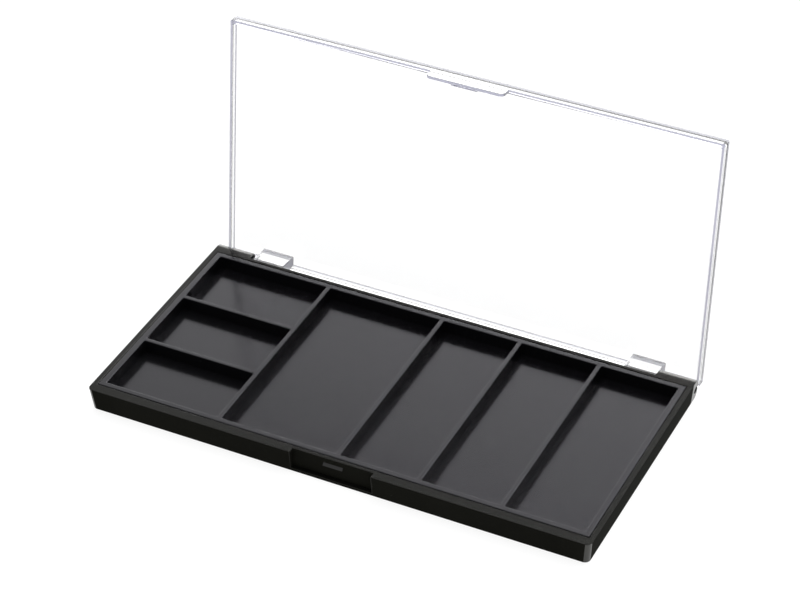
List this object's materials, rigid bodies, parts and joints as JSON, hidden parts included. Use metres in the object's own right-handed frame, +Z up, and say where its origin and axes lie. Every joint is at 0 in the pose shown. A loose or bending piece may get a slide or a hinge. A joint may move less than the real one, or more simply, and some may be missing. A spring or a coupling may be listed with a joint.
{
  "type": "watercolour palette box",
  "caption": "Shallow black palette tray with a moulded insert of open wells and a clear hinged lid that swings down over them and snaps shut at the front.",
  "frame": {"origin": "centre of the tray's underside, on the surface that it stands on, halfway between the front wall and the rear wall and without the hinge knuckles", "axes": "+X to the user's right along the hinge, +Y away from the user towards the hinge, +Z up out of the wells"},
  "size_m": [0.18, 0.1086, 0.0926],
  "materials": {
    "tray_black": "black moulded polystyrene, glossy",
    "insert_black": "black moulded polystyrene, glossy with polished well floors",
    "lid_clear": "clear polished polystyrene",
    "pin_steel": "plain drawn wire"
  },
  "bodies": {
    "base": {"base_shell": "tray_black", "well_insert": "insert_black", "hinge_pin_left": "pin_steel", "hinge_pin_right": "pin_steel"},
    "lid": {"lid": "lid_clear"}
  },
  "joints": [
    {"name": "lid_hinge", "type": "hinge", "parent": "base", "child": "lid", "pos_m": [0, 0.04615, 0.004], "axis": [1, 0, 0], "range_deg": [0, 97]}
  ]
}
